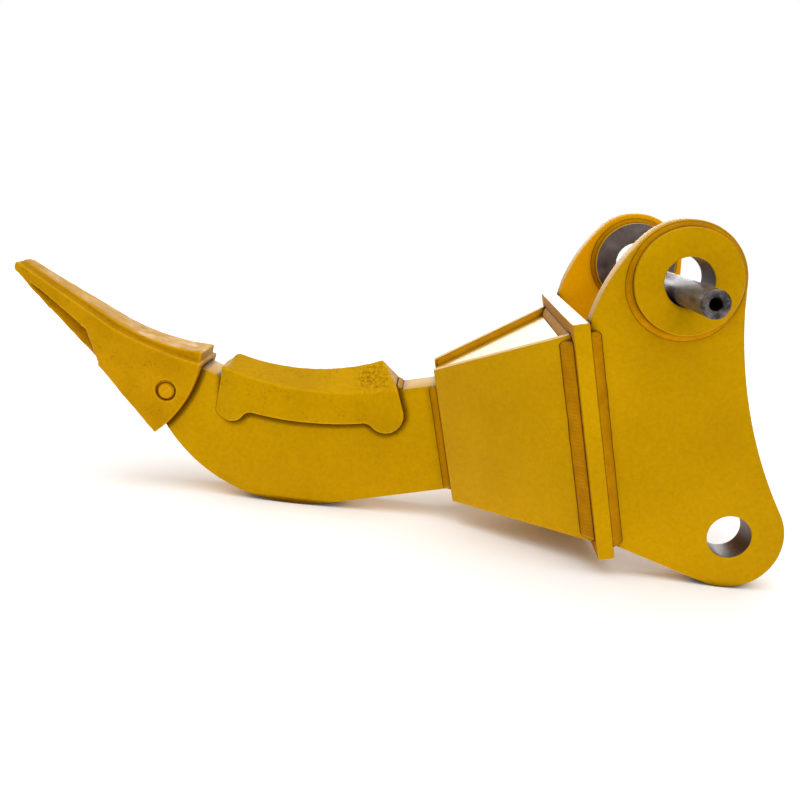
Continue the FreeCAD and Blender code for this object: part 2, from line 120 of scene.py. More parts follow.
def addRange(tree, value, fromLow, fromHigh, toLow=0.0, toHigh=1.0):
    inputs = {"Value": value, "From Min": fromLow, "From Max": fromHigh, "To Min": toLow, "To Max": toHigh}
    return addNode(tree, "ShaderNodeMapRange", inputs).outputs[0]


def addNoise(tree, place, scale, detail=2.0, roughness=0.5):
    inputs = {"Vector": place, "Scale": scale, "Detail": detail, "Roughness": roughness}
    return addNode(tree, "ShaderNodeTexNoise", inputs).outputs["Fac"]


def addMix(tree, amount, first, second, blend="MIX"):
    inputs = {0: amount, 6: first, 7: second}
    return addNode(tree, "ShaderNodeMix", inputs, data_type="RGBA", blend_type=blend).outputs[2]


def stretched(tree, place, stretch):
    return addNode(tree, "ShaderNodeVectorMath", {0: place, 1: stretch}, operation="MULTIPLY").outputs[0]


def objectPlace(tree):
    return addNode(tree, "ShaderNodeTexCoord").outputs["Object"]


def startGroup(name, inputs, outputs):
    group = bpy.data.node_groups.new(name, "ShaderNodeTree")
    for label, kind, value in inputs:
        socket = group.interface.new_socket(name=label, in_out="INPUT", socket_type="NodeSocket" + kind)
        socket.default_value = value
    for label, kind in outputs:
        group.interface.new_socket(name=label, in_out="OUTPUT", socket_type="NodeSocket" + kind)
    return group, addNode(group, "NodeGroupInput").outputs, addNode(group, "NodeGroupOutput").inputs


paintTones = {
    "patchRange": (0.35, 0.65),
    "mottleScale": 140, "mottleRange": (0.3, 0.7), "mottleTone": (0.93, 1.06),
    "liftHeights": (0.15, 0.04), "belowFacing": (-0.2, -0.5), "belowBounceLight": 1.4,
}


def makePaintTone():
    # Thick and thin areas of the coat, a fine mottle over them, and painted bounce light that makes the paint
    # lighter low down and on faces turned downward.
    group, given, result = startGroup(
        "paintTone",
        [("Thin", "Color", (0.4, 0.2, 0, 1)), ("Thick", "Color", (0.5, 0.25, 0, 1)),
         ("Patch Scale", "Float", 6), ("Low Bounce Light", "Float", 1.0)],
        [("Color", "Color")])
    place = objectPlace(group)
    patches = addRange(group, addNoise(group, place, given["Patch Scale"], 3), *paintTones["patchRange"])
    tone = addMix(group, patches, given["Thin"], given["Thick"])
    mottle = addNoise(group, place, paintTones["mottleScale"], 3)
    mottle = addRange(group, mottle, *paintTones["mottleRange"], *paintTones["mottleTone"])
    # Painted bounce light: lighter low down and on faces turned downward.
    height = addNode(group, "ShaderNodeSeparateXYZ", {0: place}).outputs["Z"]
    lift = addRange(group, height, *paintTones["liftHeights"], 1.0, given["Low Bounce Light"])
    normal = addNode(group, "ShaderNodeNewGeometry").outputs["Normal"]
    upward = addNode(group, "ShaderNodeSeparateXYZ", {0: normal}).outputs["Z"]
    below = addRange(group, upward, *paintTones["belowFacing"], 1.0, paintTones["belowBounceLight"])
    amount = addMath(group, "MULTIPLY", addMath(group, "MULTIPLY", mottle, lift), below)
    shade = addNode(group, "ShaderNodeCombineColor", {0: amount, 1: amount, 2: amount}).outputs[0]
    group.links.new(addMix(group, 1.0, tone, shade, "MULTIPLY"), result["Color"])
    return group


sprayedSkins = {"waveScale": 26, "glossScale": 55, "glossRange": (0.3, 0.7)}


def makeSprayedSkin():
    # Orange peel and slow waves of a sprayed coat, in millimetres of height.
    group, given, result = startGroup(
        "sprayedSkin",
        [("Peel Scale", "Float", 420), ("Peel Depth", "Float", 0.03), ("Wave Depth", "Float", 0.3)],
        [("Height", "Float"), ("Gloss", "Float")])
    place = objectPlace(group)
    peel = addMath(group, "MULTIPLY", addNoise(group, place, given["Peel Scale"], 2), given["Peel Depth"])
    waves = addNoise(group, place, sprayedSkins["waveScale"], 2)
    waves = addMath(group, "MULTIPLY", waves, given["Wave Depth"])
    group.links.new(addMath(group, "ADD", peel, waves), result["Height"])
    gloss = addNoise(group, place, sprayedSkins["glossScale"], 4)
    group.links.new(addRange(group, gloss, *sprayedSkins["glossRange"]), result["Gloss"])
    return group


castSkins = {
    "grainRoughness": 0.6, "pitScale": 190, "pitEdge": (0.1, 0.4),
    "pittedScale": 38, "pittedRange": (0.52, 0.64),
}


def makeCastSkin():
    # Sand-cast grain with a few round pits, in millimetres of height.
    group, given, result = startGroup(
        "castSkin",
        [("Grain Scale", "Float", 260), ("Grain Depth", "Float", 0.25), ("Pit Depth", "Float", 0.3)],
        [("Height", "Float"), ("Pits", "Float")])
    place = objectPlace(group)
    grain = addNoise(group, place, given["Grain Scale"], 5, castSkins["grainRoughness"])
    grain = addMath(group, "MULTIPLY", grain, given["Grain Depth"])
    cells = addNode(
        group, "ShaderNodeTexVoronoi", {"Vector": place, "Scale": castSkins["pitScale"]}, feature="SMOOTH_F1")
    hollows = addRange(group, cells.outputs["Distance"], *castSkins["pitEdge"], 1.0, 0.0)
    chosen = addRange(group, addNoise(group, place, castSkins["pittedScale"], 2), *castSkins["pittedRange"])
    pits = addMath(group, "MULTIPLY", hollows, chosen)
    depth = addMath(group, "MULTIPLY", pits, given["Pit Depth"])
    group.links.new(addMath(group, "SUBTRACT", grain, depth), result["Height"])
    group.links.new(pits, result["Pits"])
    return group


flameCuts = {"edgeFacing": (0.25, 0.5), "stretch": (1.0, 0.05, 1.0), "coarseScale": 90}


def makeCutLines():
    # Drag lines of flame cutting, which run across a plate's edge and nowhere else.
    group, given, result = startGroup(
        "cutLines", [("Line Scale", "Float", 520), ("Line Depth", "Float", 0.15)],
        [("Height", "Float"), ("Edge", "Float")])
    normal = addNode(group, "ShaderNodeNewGeometry").outputs["Normal"]
    across = addNode(group, "ShaderNodeSeparateXYZ", {0: normal}).outputs["Y"]
    edge = addRange(group, addMath(group, "ABSOLUTE", across), *flameCuts["edgeFacing"], 1.0, 0.0)
    place = stretched(group, objectPlace(group), flameCuts["stretch"])
    lines = addNoise(group, place, given["Line Scale"], 2)
    coarse = addNoise(group, place, flameCuts["coarseScale"], 2)
    depth = addMath(group, "MULTIPLY", addMath(group, "ADD", lines, coarse), given["Line Depth"])
    group.links.new(addMath(group, "MULTIPLY", depth, edge), result["Height"])
    group.links.new(edge, result["Edge"])
    return group


corners = {"raysPerPoint": 6, "flatBend": 0.5, "glintFrom": 0.505}


def makeCreviceShade():
    # Painted shade in corners where two pieces meet, and a painted glint on the proud edges of a dense mesh.
    group, given, result = startGroup(
        "creviceShade",
        [("Reach", "Float", 0.012), ("Full", "Float", 0.6), ("Clear", "Float", 0.86),
         ("Spread", "Float", 0.05)],
        [("Crevice", "Float"), ("Ridge Glint", "Float")])
    rays = addNode(
        group, "ShaderNodeAmbientOcclusion", {"Distance": given["Reach"]}, samples=corners["raysPerPoint"])
    hidden = rays.outputs["AO"]
    group.links.new(addRange(group, hidden, given["Full"], given["Clear"], 1.0, 0.0), result["Crevice"])
    bend = addNode(group, "ShaderNodeNewGeometry").outputs["Pointiness"]
    high = addMath(group, "ADD", corners["flatBend"], given["Spread"])
    group.links.new(addRange(group, bend, corners["glintFrom"], high), result["Ridge Glint"])
    return group


boringMarks = {"stainScale": 30, "ringShare": 0.45, "stainShare": 0.75}


def makeTurnedRings():
    # Fine rings left by a boring or facing tool round one axis.
    group, given, result = startGroup(
        "turnedRings", [("Axis", "Vector", (0, 0, 0)), ("Ring Scale", "Float", 900)],
        [("Height", "Float"), ("Tone", "Float")])
    inputs = {0: objectPlace(group), 1: given["Axis"]}
    offset = addNode(group, "ShaderNodeVectorMath", inputs, operation="SUBTRACT").outputs[0]
    inputs = {0: stretched(group, offset, (1.0, 0.0, 1.0))}
    radius = addNode(group, "ShaderNodeVectorMath", inputs, operation="LENGTH").outputs["Value"]
    depthIn = addNode(group, "ShaderNodeSeparateXYZ", {0: offset}).outputs["Y"]
    track = addNode(group, "ShaderNodeCombineXYZ", {"X": radius, "Y": depthIn}).outputs[0]
    rings = addNoise(group, track, given["Ring Scale"], 3)
    group.links.new(rings, result["Height"])
    stains = addNoise(group, objectPlace(group), boringMarks["stainScale"], 4)
    stains = addMath(group, "MULTIPLY", stains, boringMarks["stainShare"])
    rings = addMath(group, "MULTIPLY", rings, boringMarks["ringShare"])
    group.links.new(addMath(group, "ADD", rings, stains), result["Tone"])
    return group


drawingMarks = {
    "stretch": (1.0, 0.08, 1.0), "stainScale": 42, "stainRange": (0.35, 0.65),
    "streakShare": 0.7, "stainShare": 0.4,
}


def makeDrawnStreaks():
    # Long marks that run the length of a drawn bar, with darker stains.
    group, given, result = startGroup(
        "drawnStreaks", [("Streak Scale", "Float", 160)], [("Height", "Float"), ("Tone", "Float")])
    place = objectPlace(group)
    streaks = addNoise(group, stretched(group, place, drawingMarks["stretch"]), given["Streak Scale"], 4)
    group.links.new(streaks, result["Height"])
    stains = addNoise(group, place, drawingMarks["stainScale"], 4)
    stains = addRange(group, stains, *drawingMarks["stainRange"])
    stains = addMath(group, "MULTIPLY", stains, drawingMarks["stainShare"])
    streaks = addMath(group, "MULTIPLY", streaks, drawingMarks["streakShare"])
    group.links.new(addMath(group, "ADD", streaks, stains), result["Tone"])
    return group


groups = {
    "paintTone": makePaintTone(),
    "sprayedSkin": makeSprayedSkin(),
    "castSkin": makeCastSkin(),
    "cutLines": makeCutLines(),
    "creviceShade": makeCreviceShade(),
    "turnedRings": makeTurnedRings(),
    "drawnStreaks": makeDrawnStreaks(),
}


def placeGroup(tree, name, values=None):
    node = addNode(tree, "ShaderNodeGroup", None, node_tree=groups[name])
    for label, value in (values or {}).items():
        node.inputs[label].default_value = value
    return node.outputs


def startMaterial(name):
    material = bpy.data.materials.new(name)
    material.use_nodes = True
    tree = material.node_tree
    return material, tree, tree.nodes["Principled BSDF"]


def finishSurface(tree, shader, color, roughness, height, bumpStrength=1.0):
    tree.links.new(color, shader.inputs["Base Color"])
    tree.links.new(roughness, shader.inputs["Roughness"])
    bump = addNode(tree, "ShaderNodeBump", {"Height": height, "Strength": bumpStrength, "Distance": 0.001})
    tree.links.new(bump.outputs["Normal"], shader.inputs["Normal"])


platePaint = {
    "thin": linear(173, 128, 0), "thick": linear(183, 137, 0), "patchScale": 5, "lowBounceLight": 1.1,
    "peelScale": 420, "peelDepth": 0.035, "waveDepth": 0.35,
    "lineScale": 520, "lineDepth": 0.22,
    "paintedShade": linear(72, 34, 0), "paintedShadeShare": 0.95, "paintedShadeReach": 0.016,
    "paintedShadeRange": (0.6, 0.86),
    "gloss": (0.22, 0.34), "edgeGloss": 0.55, "specular": 0.4, "sheenTint": (1.0, 0.6, 0.02, 1),
}
# Painted light: a lighter copy of the plate paint for the ears' inner faces, for light thrown between the
# ears.
innerLitPaint = dict(platePaint, thin=linear(222, 155, 0), thick=linear(232, 164, 0), gloss=(0.3, 0.42))
shankPaint = dict(
    platePaint, paintedShadeReach=0.014, paintedShadeRange=(0.82, 0.94), paintedShadowEnd=(-470, 0, -250), paintedShadowFade=0.02,
    paintedShadowLeft=0.2)
flangePaint = dict(platePaint, edgeGloss=0.25)
coverPaint = dict(platePaint, gloss=(0.42, 0.6), edgeGloss=0.34)


def makePlatePaint(name, finish):
    material, tree, shader = startMaterial(name)
    tone = placeGroup(tree, "paintTone", {
        "Thin": finish["thin"], "Thick": finish["thick"], "Patch Scale": finish["patchScale"],
        "Low Bounce Light": finish["lowBounceLight"]})
    skin = placeGroup(tree, "sprayedSkin", {
        "Peel Scale": finish["peelScale"], "Peel Depth": finish["peelDepth"],
        "Wave Depth": finish["waveDepth"]})
    cut = placeGroup(tree, "cutLines", {"Line Scale": finish["lineScale"], "Line Depth": finish["lineDepth"]})
    full, clear = finish["paintedShadeRange"]
    shadeAndGlint = placeGroup(tree, "creviceShade", {"Reach": finish["paintedShadeReach"], "Full": full, "Clear": clear})
    # Painted shade: the paint darkens in the corners where pieces meet.
    hidden = addMath(tree, "MULTIPLY", shadeAndGlint["Crevice"], finish["paintedShadeShare"])
    if "paintedShadowEnd" in finish:
        # A painted shadow runs along the guard and the tooth, and fades before the box.
        end = (fromDrawing @ Vector(finish["paintedShadowEnd"])).x
        fade = finish["paintedShadowFade"]
        along = addNode(tree, "ShaderNodeSeparateXYZ", {0: objectPlace(tree)}).outputs["X"]
        share = addRange(tree, along, end - fade, end + fade, 1.0, finish["paintedShadowLeft"])
        hidden = addMath(tree, "MULTIPLY", hidden, share)
    color = addMix(tree, hidden, tone["Color"], finish["paintedShade"])
    height = addMath(tree, "ADD", skin["Height"], cut["Height"])
    flat = addRange(tree, skin["Gloss"], 0, 1, *finish["gloss"])
    roughness = addRange(tree, cut["Edge"], 0, 1, flat, finish["edgeGloss"])
    shader.inputs["Specular IOR Level"].default_value = finish["specular"]
    shader.inputs["Specular Tint"].default_value = finish["sheenTint"]
    finishSurface(tree, shader, color, roughness, height)
    return material


# The weld paint is darker than the plate paint: painted shade on the beads, which turn aside from the light.
weldShadedPaint = {
    "thin": linear(164, 110, 0), "thick": linear(176, 120, 0), "patchScale": 30, "lowBounceLight": 1.0,
    "peelScale": 380, "peelDepth": 0.05, "waveDepth": 0.2,
    "paintedShade": linear(66, 32, 0), "paintedShadeShare": 0.9, "paintedShadeReach": 0.014,
    "paintedShadeRange": (0.66, 0.9),
    "gloss": (0.6, 0.75), "specular": 0.15, "sheenTint": (1.0, 0.6, 0.02, 1),
}


def makeWeldPaint():
    material, tree, shader = startMaterial("weldShadedPaint")
    tone = placeGroup(tree, "paintTone", {
        "Thin": weldShadedPaint["thin"], "Thick": weldShadedPaint["thick"], "Patch Scale": weldShadedPaint["patchScale"],
        "Low Bounce Light": weldShadedPaint["lowBounceLight"]})
    skin = placeGroup(tree, "sprayedSkin", {
        "Peel Scale": weldShadedPaint["peelScale"], "Peel Depth": weldShadedPaint["peelDepth"],
        "Wave Depth": weldShadedPaint["waveDepth"]})
    full, clear = weldShadedPaint["paintedShadeRange"]
    shadeAndGlint = placeGroup(tree, "creviceShade", {
        "Reach": weldShadedPaint["paintedShadeReach"], "Full": full, "Clear": clear})
    # Painted shade: the weld paint darkens at its toes and in corners.
    hidden = addMath(tree, "MULTIPLY", shadeAndGlint["Crevice"], weldShadedPaint["paintedShadeShare"])
    color = addMix(tree, hidden, tone["Color"], weldShadedPaint["paintedShade"])
    roughness = addRange(tree, skin["Gloss"], 0, 1, *weldShadedPaint["gloss"])
    shader.inputs["Specular IOR Level"].default_value = weldShadedPaint["specular"]
    shader.inputs["Specular Tint"].default_value = weldShadedPaint["sheenTint"]
    finishSurface(tree, shader, color, roughness, skin["Height"])
    return material


toothPaint = {
    "thin": linear(171, 123, 0), "thick": linear(184, 133, 2), "patchScale": 16,
    "grainScale": 300, "grainDepth": 0.28, "pitDepth": 0.35,
    "coatPeelScale": 420.0, "coatPeelDepth": 0.03, "coatWaveDepth": 0.5,
    "paintedShade": linear(96, 50, 0), "paintedShadeReach": 0.007, "paintedShadeShare": 0.8,
    "ridgeGlint": linear(232, 172, 20), "ridgeGlintSpread": 0.07, "ridgeGlintShare": 0.5, "pitShadeShare": 0.35,
    "gloss": (0.42, 0.74), "specular": 0.22, "sheenTint": (1.0, 0.6, 0.02, 1), "lowBounceLight": 1.0,
}
guardPaint = dict(
    toothPaint, thin=linear(172, 128, 0), thick=linear(184, 138, 0), patchScale=8, grainDepth=0.18,
    pitDepth=0.15, gloss=(0.5, 0.66), specular=0.2, paintedShade=linear(72, 34, 0), paintedShadeReach=0.016,
    paintedShadeShare=0.9)


def makeCastPaint(name, finish):
    material, tree, shader = startMaterial(name)
    tone = placeGroup(tree, "paintTone", {
        "Thin": finish["thin"], "Thick": finish["thick"], "Patch Scale": finish["patchScale"],
        "Low Bounce Light": finish["lowBounceLight"]})
    skin = placeGroup(tree, "castSkin", {
        "Grain Scale": finish["grainScale"], "Grain Depth": finish["grainDepth"],
        "Pit Depth": finish["pitDepth"]})
    coat = placeGroup(tree, "sprayedSkin", {
        "Peel Scale": finish["coatPeelScale"], "Peel Depth": finish["coatPeelDepth"],
        "Wave Depth": finish["coatWaveDepth"]})
    shadeAndGlint = placeGroup(tree, "creviceShade", {
        "Reach": finish["paintedShadeReach"], "Spread": finish["ridgeGlintSpread"]})
    color = tone["Color"]
    # Painted shade in crevices and pits, and a painted glint on ridges.
    for mask, share, over in (
            (shadeAndGlint["Crevice"], "paintedShadeShare", "paintedShade"), (shadeAndGlint["Ridge Glint"], "ridgeGlintShare", "ridgeGlint"),
            (skin["Pits"], "pitShadeShare", "paintedShade")):
        color = addMix(tree, addMath(tree, "MULTIPLY", mask, finish[share]), color, finish[over])
    roughness = addRange(tree, coat["Gloss"], 0, 1, *finish["gloss"])
    shader.inputs["Specular IOR Level"].default_value = finish["specular"]
    shader.inputs["Specular Tint"].default_value = finish["sheenTint"]
    height = addMath(tree, "ADD", skin["Height"], coat["Height"])
    finishSurface(tree, shader, color, roughness, height)
    return material


boreSteel = {
    "dark": linear(56, 47, 45), "light": linear(126, 114, 110), "toneRange": (0.35, 0.8),
    "gloss": (0.3, 0.5), "glossRange": (0.3, 0.8), "metal": 0.75, "ringScale": 900, "ringDepth": 0.12,
}


def makeBoreSteel(name, axis):
    material, tree, shader = startMaterial(name)
    rings = placeGroup(tree, "turnedRings", {"Axis": axis, "Ring Scale": boreSteel["ringScale"]})
    tone = addRange(tree, rings["Tone"], *boreSteel["toneRange"])
    color = addMix(tree, tone, boreSteel["dark"], boreSteel["light"])
    roughness = addRange(tree, rings["Tone"], *boreSteel["glossRange"], *boreSteel["gloss"])
    shader.inputs["Metallic"].default_value = boreSteel["metal"]
    height = addMath(tree, "MULTIPLY", rings["Height"], boreSteel["ringDepth"])
    finishSurface(tree, shader, color, roughness, height)
    return material


barSteel = {
    "dark": linear(42, 37, 36), "light": linear(116, 107, 104), "toneRange": (0.4, 0.8),
    "gloss": (0.32, 0.5), "glossRange": (0.3, 0.8), "metal": 0.6, "streakScale": 160, "streakDepth": 0.4,
}


def makeBarSteel():
    material, tree, shader = startMaterial("barSteel")
    marks = placeGroup(tree, "drawnStreaks", {"Streak Scale": barSteel["streakScale"]})
    tone = addRange(tree, marks["Tone"], *barSteel["toneRange"])
    color = addMix(tree, tone, barSteel["dark"], barSteel["light"])
    roughness = addRange(tree, marks["Tone"], *barSteel["glossRange"], *barSteel["gloss"])
    shader.inputs["Metallic"].default_value = barSteel["metal"]
    height = addMath(tree, "MULTIPLY", marks["Height"], barSteel["streakDepth"])
    finishSurface(tree, shader, color, roughness, height)
    return material


lockRubber = {
    "dark": linear(22, 22, 22), "light": linear(44, 43, 42), "patchScale": 60,
    "grainScale": 600.0, "grainDepth": 0.1, "pitDepth": 0.05, "gloss": (0.7, 0.85),
}


def makeLockRubber():
    material, tree, shader = startMaterial("lockRubber")
    tone = placeGroup(tree, "paintTone", {
        "Thin": lockRubber["dark"], "Thick": lockRubber["light"], "Patch Scale": lockRubber["patchScale"]})
    skin = placeGroup(tree, "castSkin", {
        "Grain Scale": lockRubber["grainScale"], "Grain Depth": lockRubber["grainDepth"],
        "Pit Depth": lockRubber["pitDepth"]})
    roughness = addRange(tree, skin["Pits"], 0, 1, *lockRubber["gloss"])
    finishSurface(tree, shader, tone["Color"], roughness, skin["Height"])
    return material


finishes = {
    "plate": makePlatePaint("platePaint", platePaint),
    "shank": makePlatePaint("shankPaint", shankPaint),
    "flange": makePlatePaint("flangePaint", flangePaint),
    "inner": makePlatePaint("innerLitPaint", innerLitPaint),
    "cover": makePlatePaint("coverPaint", coverPaint),
    "weld": makeWeldPaint(),
    "tooth": makeCastPaint("toothPaint", toothPaint),
    "guard": makeCastPaint("guardPaint", guardPaint),
    "armSteel": makeBoreSteel("armBoreSteel", armPin),
    "linkSteel": makeBoreSteel("linkBoreSteel", linkPin),
    "bar": makeBarSteel(),
    "rubber": makeLockRubber(),
}
print("materials made")


def addPiece(name, shape, materials, nodeNames, body="root"):
    mesh = bpy.data.meshes.new(name)
    shape.to_mesh(mesh)
    shape.free()
    piece = bpy.data.objects.new(name, mesh)
    bpy.context.scene.collection.objects.link(piece)
    for material in materials:
        mesh.materials.append(finishes[material])
    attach(piece, body)
    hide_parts(*nodeNames)


def sideName(side):
    return "left" if side > 0 else "right"


meshRules = {
    "mergeDistance": 0.00001, "flattenDegrees": 0.2,
    "sharpDegrees": 25, "curveDegrees": (0.3, 12), "creaseDegrees": 50, "roundSegments": 3,
    "touching": 1, "boreWallFacing": 0.6,
}


def fromNode(nodeName, flatten=True):
    shape = bmesh.new()
    shape.from_mesh(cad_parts[nodeName].data)
    bmesh.ops.remove_doubles(shape, verts=shape.verts, dist=meshRules["mergeDistance"])
    if flatten:
        limit = math.radians(meshRules["flattenDegrees"])
        bmesh.ops.dissolve_limit(shape, angle_limit=limit, verts=shape.verts, edges=shape.edges)
    return shape


def drawn(point):
    return toDrawing @ point


def reachFrom(point, x, z):
    place = drawn(point)
    return math.hypot(place.x - x, place.z - z)


def roundEdges(shape, width, keeps=None):
    # Rounds the sharp edges of a plate, keeps its flats flat and its curved walls smooth.
    sharp = math.radians(meshRules["sharpDegrees"])
    crease = math.radians(meshRules["creaseDegrees"])
    gentlest, steepest = [math.radians(angle) for angle in meshRules["curveDegrees"]]
    chosen = []
    for edge in shape.edges:
        if len(edge.link_faces) == 2 and edge.calc_face_angle(0) > sharp:
            middle = (edge.verts[0].co + edge.verts[1].co) / 2
            if keeps is None or not keeps(middle):
                chosen.append(edge)
    made = bmesh.ops.bevel(
        shape, geom=chosen, offset=width, offset_type="OFFSET", segments=meshRules["roundSegments"],
        profile=0.5, affect="EDGES", clamp_overlap=True)
    rounded = set(made["faces"])
    shape.normal_update()
    for face in shape.faces:
        curved = False
        for edge in face.edges:
            if len(edge.link_faces) == 2:
                angle = edge.calc_face_angle(0)
                curved = curved or gentlest < angle < steepest
        face.smooth = curved or face in rounded
    for edge in shape.edges:
        if len(edge.link_faces) == 2:
            edge.smooth = edge.calc_face_angle(0) < crease


def paintBore(shape, x, z, radius, index):
    for face in shape.faces:
        isWall = abs(face.normal.y) < meshRules["boreWallFacing"]
        if isWall and reachFrom(face.calc_center_median(), x, z) < radius:
            face.material_index = index


earPlates = {"edgeRound": 0.0022, "boreEdge": 1.5, "linkWallEdge": 0.6, "innerFacing": -0.7}


def makeEarPlate(side):
    shape = fromNode("ear_plate_" + sideName(side))
    armReach = ripper["armBore"] + earPlates["boreEdge"]
    linkReach = ripper["linkBore"] + earPlates["boreEdge"]

    def insideBore(point):
        if reachFrom(point, 0, 0) < armReach:
            return True
        onInner = abs(abs(drawn(point).y) - ripper["earInner"]) < meshRules["touching"]
        return onInner and reachFrom(point, ripper["linkX"], ripper["linkZ"]) < linkReach

    roundEdges(shape, earPlates["edgeRound"], insideBore)
    paintBore(shape, 0, 0, armReach, 1)
    paintBore(shape, ripper["linkX"], ripper["linkZ"], ripper["linkBore"] + earPlates["linkWallEdge"], 2)
    # The ears' inner faces take the lighter paint: painted light between the ears.
    for face in shape.faces:
        if face.normal.y * side < earPlates["innerFacing"]:
            face.material_index = 3
    name = "ear_plate_" + sideName(side)
    materials = ("plate", "armSteel", "linkSteel", "inner")
    addPiece("earPlate" + sideName(side).title(), shape, materials, (name,))


bosses = {"edgeRound": 0.0018, "boreEdge": 2.5, "faceSlack": 0.3}


def makeBoss(side, kind):
    nodeName = kind + "_" + sideName(side)
    shape = fromNode(nodeName)
    backFace = ripper["earOuter"] if kind == "arm_boss_outer" else ripper["earInner"]
    roundEdges(
        shape, bosses["edgeRound"],
        lambda point: abs(abs(drawn(point).y) - backFace) < meshRules["touching"])
    atLink = kind.startswith("link")
    x = ripper["linkX"] if atLink else 0
    z = ripper["linkZ"] if atLink else 0
    bore = ripper["linkBore"] if atLink else ripper["armBore"]
    paintBore(shape, x, z, bore + bosses["boreEdge"], 1)
    if kind != "arm_boss_outer":
        faceY = ripper["earInner"] - ripper["innerBossThick"]
        for face in shape.faces:
            if abs(abs(drawn(face.calc_center_median()).y) - faceY) < bosses["faceSlack"]:
                face.material_index = 1
    steel = "linkSteel" if atLink else "armSteel"
    parts = kind.split("_")
    name = parts[0] + "Boss" + parts[2].title() + sideName(side).title()
    addPiece(name, shape, ("plate", steel), (nodeName,))


flangeAndBox = {
    "flangeRound": 0.0022, "sideRound": 0.0018, "coverRound": 0.001, "ribRound": 0.001, "frontFacing": -0.9,
}


def makeFlangeAndBox():
    shape = fromNode("flange_plate")
    roundEdges(shape, flangeAndBox["flangeRound"])
    # Painted shade: the flange's front face takes the darker weld paint.
    for face in shape.faces:
        if face.normal.x < flangeAndBox["frontFacing"]:
            face.material_index = 1
    addPiece("flangePlate", shape, ("flange", "weld"), ("flange_plate",))
    for nodeName, name in (("top_cover_plate", "topCoverPlate"), ("bottom_cover_plate", "bottomCoverPlate")):
        shape = fromNode(nodeName)
        roundEdges(shape, flangeAndBox["coverRound"])
        addPiece(name, shape, ("cover",), (nodeName,))
    for side in (1, -1):
        tail = sideName(side)
        shape = fromNode("side_plate_" + tail)
        roundEdges(shape, flangeAndBox["sideRound"])
        addPiece("sidePlate" + tail.title(), shape, ("plate",), ("side_plate_" + tail,))
        shape = fromNode("box_rib_" + tail)
        roundEdges(shape, flangeAndBox["ribRound"])
        addPiece("boxRib" + tail.title(), shape, ("plate",), ("box_rib_" + tail,))


shankPlate = {"edgeRound": 0.0028}


def makeShank():
    shape = fromNode("shank")
    roundEdges(shape, shankPlate["edgeRound"], lambda point: drawn(point).x < ripper["noseRear"])
    addPiece("shankPlate", shape, ("shank",), ("shank",))


for side in (1, -1):
    makeEarPlate(side)
    for kind in ("arm_boss_outer", "arm_boss_inner", "link_boss_inner"):
        makeBoss(side, kind)
makeFlangeAndBox()
makeShank()
print("plates made")


def castFrom(nodeName, voxel):
    # A dense even mesh over the CAD solid, ready for soft corners and cast texture.
    mesh = bpy.data.meshes.new(nodeName + "Cast")
    shape = fromNode(nodeName, False)
    shape.to_mesh(mesh)
    shape.free()
    rough = bpy.data.objects.new(nodeName + "Cast", mesh)
    bpy.context.scene.collection.objects.link(rough)
    remesh = rough.modifiers.new("remesh", "REMESH")
    remesh.mode = "VOXEL"
    remesh.voxel_size = voxel
    dense = bpy.data.meshes.new_from_object(rough.evaluated_get(bpy.context.evaluated_depsgraph_get()))
    bpy.data.objects.remove(rough)
    shape = bmesh.new()
    shape.from_mesh(dense)
    bpy.data.meshes.remove(dense)
    return shape


def soften(shape, steps, verts=None, axes=(True, True, True)):
    for step in range(steps):
        bmesh.ops.smooth_vert(
            shape, verts=verts or shape.verts, factor=0.5,
            use_axis_x=axes[0], use_axis_y=axes[1], use_axis_z=axes[2])


castSurface = {
    "grainOffset": (7, 3, 1),
    "lumpFalloff": 2, "lumpDimension": 0.8, "lumpGain": 2.1, "lumpOctaves": 3,
}


def roughen(shape, nodeName, finish):
    # Slow unevenness everywhere, lumps where the finish has them, and nothing past the CAD solid's box.
    low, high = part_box(nodeName)
    grainOffset = Vector(castSurface["grainOffset"])
    fractal = castSurface["lumpDimension"], castSurface["lumpGain"], castSurface["lumpOctaves"]
    shape.normal_update()
    shifts = []
    for vert in shape.verts:
        place = drawn(vert.co)
        shift = finish["waveDepth"] * noise.noise(place / finish["waveSize"])
        shift += finish["grainDepth"] * noise.noise(place / finish["grainSize"] + grainOffset)
        for lump in finish["lumps"]:
            nearness = 1 - (place - Vector(lump["centre"])).length / lump["reach"]
            if nearness > 0:
                strength = min(1, castSurface["lumpFalloff"] * nearness) * lump["depth"]
                shift += strength * noise.fractal(place / lump["size"], *fractal)
        shifts.append(vert.normal * (shift * standing["unit"]))
    for vert, shift in zip(shape.verts, shifts):
        vert.co = [min(max(value, low[axis]), high[axis]) for axis, value in enumerate(vert.co + shift)]
    for face in shape.faces:
        face.smooth = True


rippingTooth = {
    "voxel": 0.0017, "cornerSteps": 4,
    "scoopSteps": 50, "scoopSpan": (-1090, -1034), "scoopBelow": 55, "scoopBeside": 20,
    "waveDepth": 0.5, "waveSize": 26, "grainDepth": 0.16, "grainSize": 5,
    "lumps": [{"centre": (-880, -45, -35), "reach": 45, "depth": 0.9, "size": 9}],
}


def makeTooth():
    shape = castFrom("tooth", rippingTooth["voxel"])
    low, high = rippingTooth["scoopSpan"]
    scoop = []
    for vert in shape.verts:
        place = drawn(vert.co)
        below = place.z < rippingTooth["scoopBelow"]
        if low < place.x < high and below and abs(place.y) > rippingTooth["scoopBeside"]:
            scoop.append(vert)
    soften(shape, rippingTooth["scoopSteps"], scoop, (False, True, False))
    soften(shape, rippingTooth["cornerSteps"])
    roughen(shape, "tooth", rippingTooth)
    addPiece("rippingTooth", shape, ("tooth",), ("tooth",))


